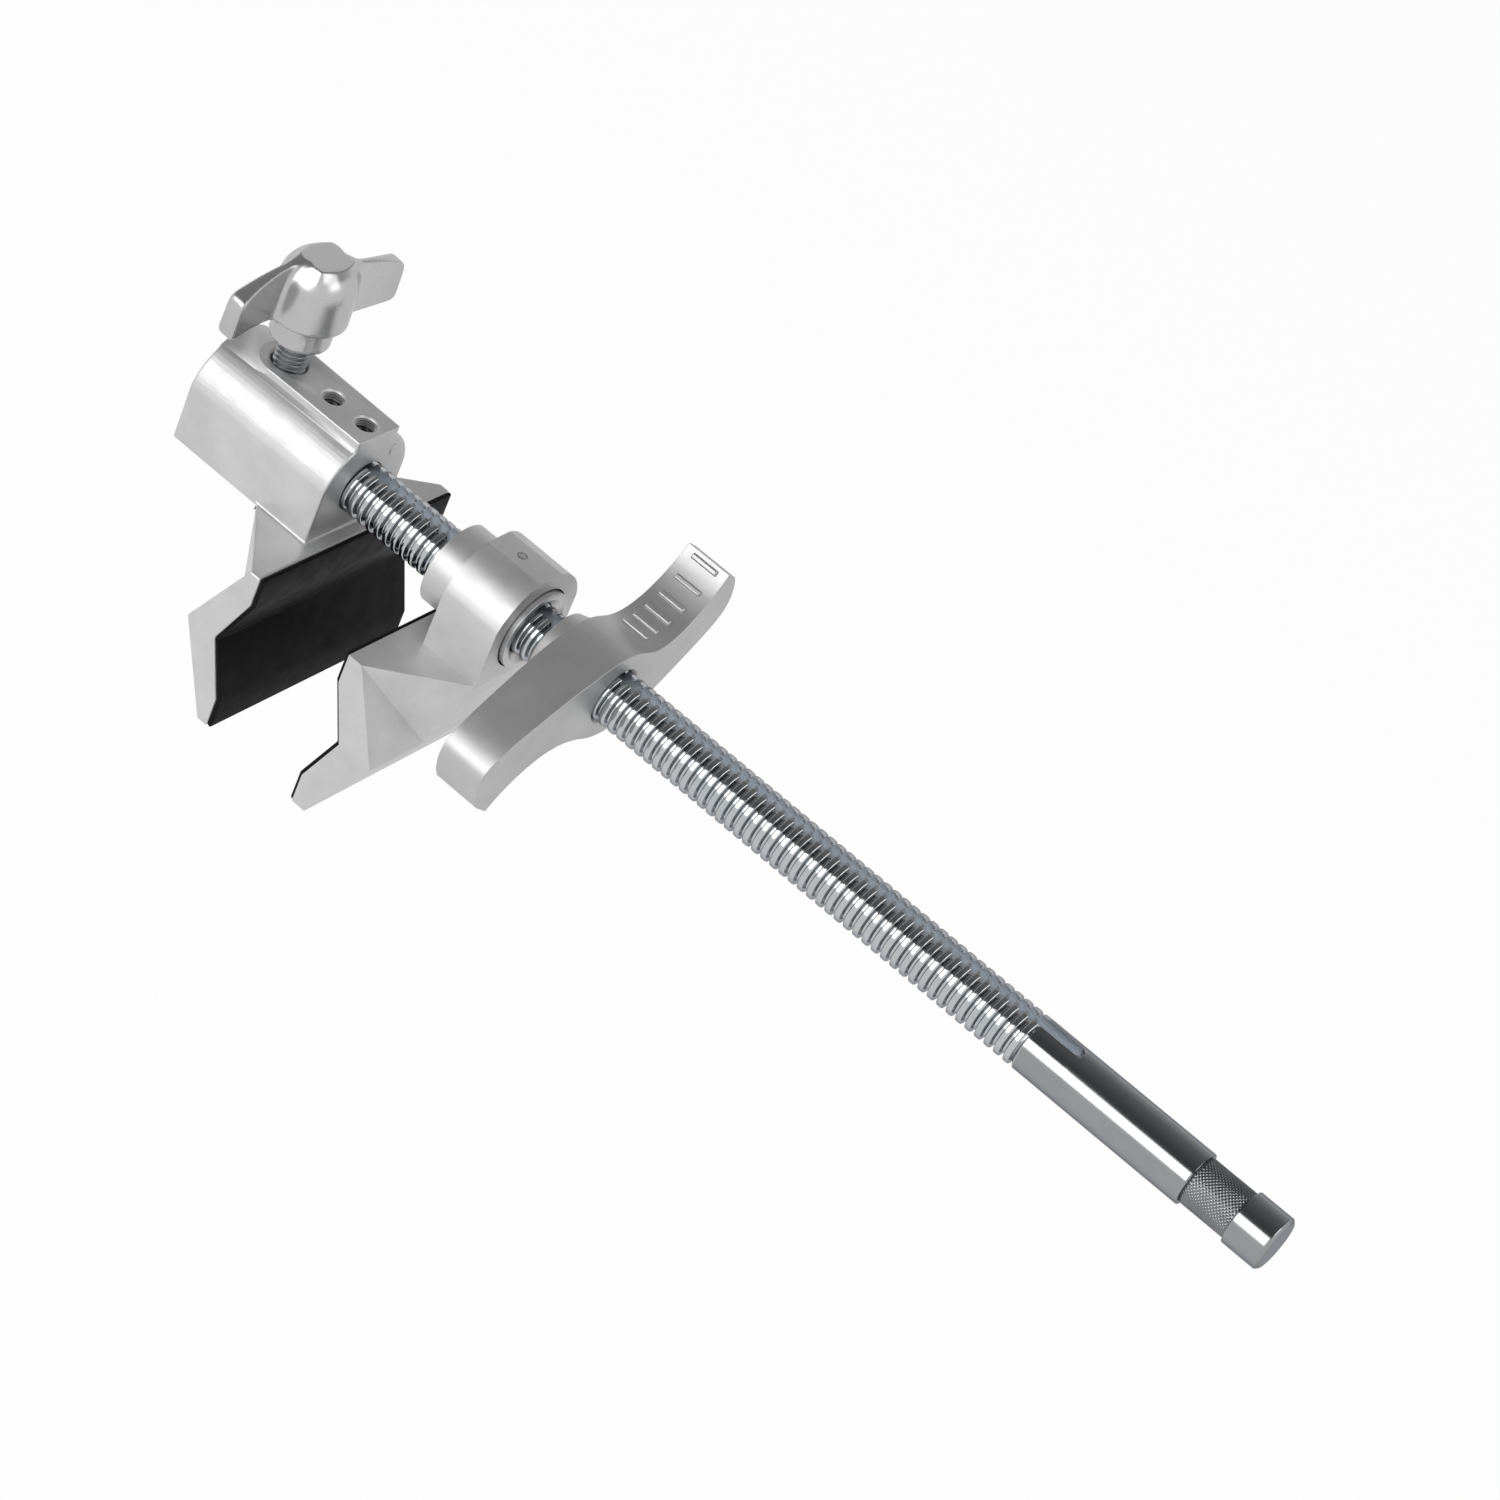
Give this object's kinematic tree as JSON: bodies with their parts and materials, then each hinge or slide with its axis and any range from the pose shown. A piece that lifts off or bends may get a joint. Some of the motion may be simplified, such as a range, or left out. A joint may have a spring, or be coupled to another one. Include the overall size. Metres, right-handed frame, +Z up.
{
  "type": "screw jaw clamp",
  "caption": "Screw clamp with two rubber-lined V jaws on a threaded rod, a wing nut, a wing lock knob and a plain mounting pin.",
  "frame": {"origin": "centre of the collar at the free end of the mounting pin", "axes": "+X along the rod away from the jaws, out of the pin's free end; +Z up, square to the rod, towards the lock knob; Y across the jaws' width"},
  "size_m": [0.3675, 0.0948, 0.1197],
  "materials": {
    "cast_body": "satin cast",
    "cast_nut": "satin cast",
    "cast_knob": "tumbled cast",
    "ring_metal": "machined",
    "plated_steel": "bright zinc plate",
    "dark_screw": "dark steel",
    "shoe_brass": "plain",
    "pad_rubber": "semi matte"
  },
  "bodies": {
    "frame": {"fixed_jaw": "cast_body", "fixed_jaw_pad": "pad_rubber", "threaded_rod": "plated_steel", "set_screws": "dark_screw"},
    "slider": {"moving_jaw": "cast_body", "moving_jaw_pad": "pad_rubber", "key_pin": "dark_screw", "thrust_ring": "ring_metal"},
    "nut": {"wing_nut": "cast_nut"},
    "shoe": {"lock_shoe": "shoe_brass"},
    "lock": {"lock_knob": "cast_knob", "lock_stud": "plated_steel"}
  },
  "joints": [
    {"name": "jaw_slide", "type": "slide", "parent": "frame", "child": "slider", "axis": [1, 0, 0], "range_m": [-0.03, 0.139]},
    {"name": "nut_spin", "type": "hinge", "parent": "slider", "child": "nut", "pos_m": [-0.22665, 0, 0], "axis": [1, 0, 0], "range_deg": [-3401.4, 15760.4]},
    {"name": "shoe_slide", "type": "slide", "parent": "frame", "child": "shoe", "axis": [0, 0, 1], "range_m": [-0.006, 0.003]},
    {"name": "lock_spin", "type": "hinge", "parent": "shoe", "child": "lock", "pos_m": [-0.3456, 0, 0.0179], "axis": [0, 0, 1], "range_deg": [-1440, 720]}
  ],
  "couplings": [
    {"joint": "jaw_slide", "follows": "nut_spin", "m_per_rad": 0.00050532},
    {"joint": "shoe_slide", "follows": "lock_spin", "m_per_rad": 0.00023873}
  ]
}
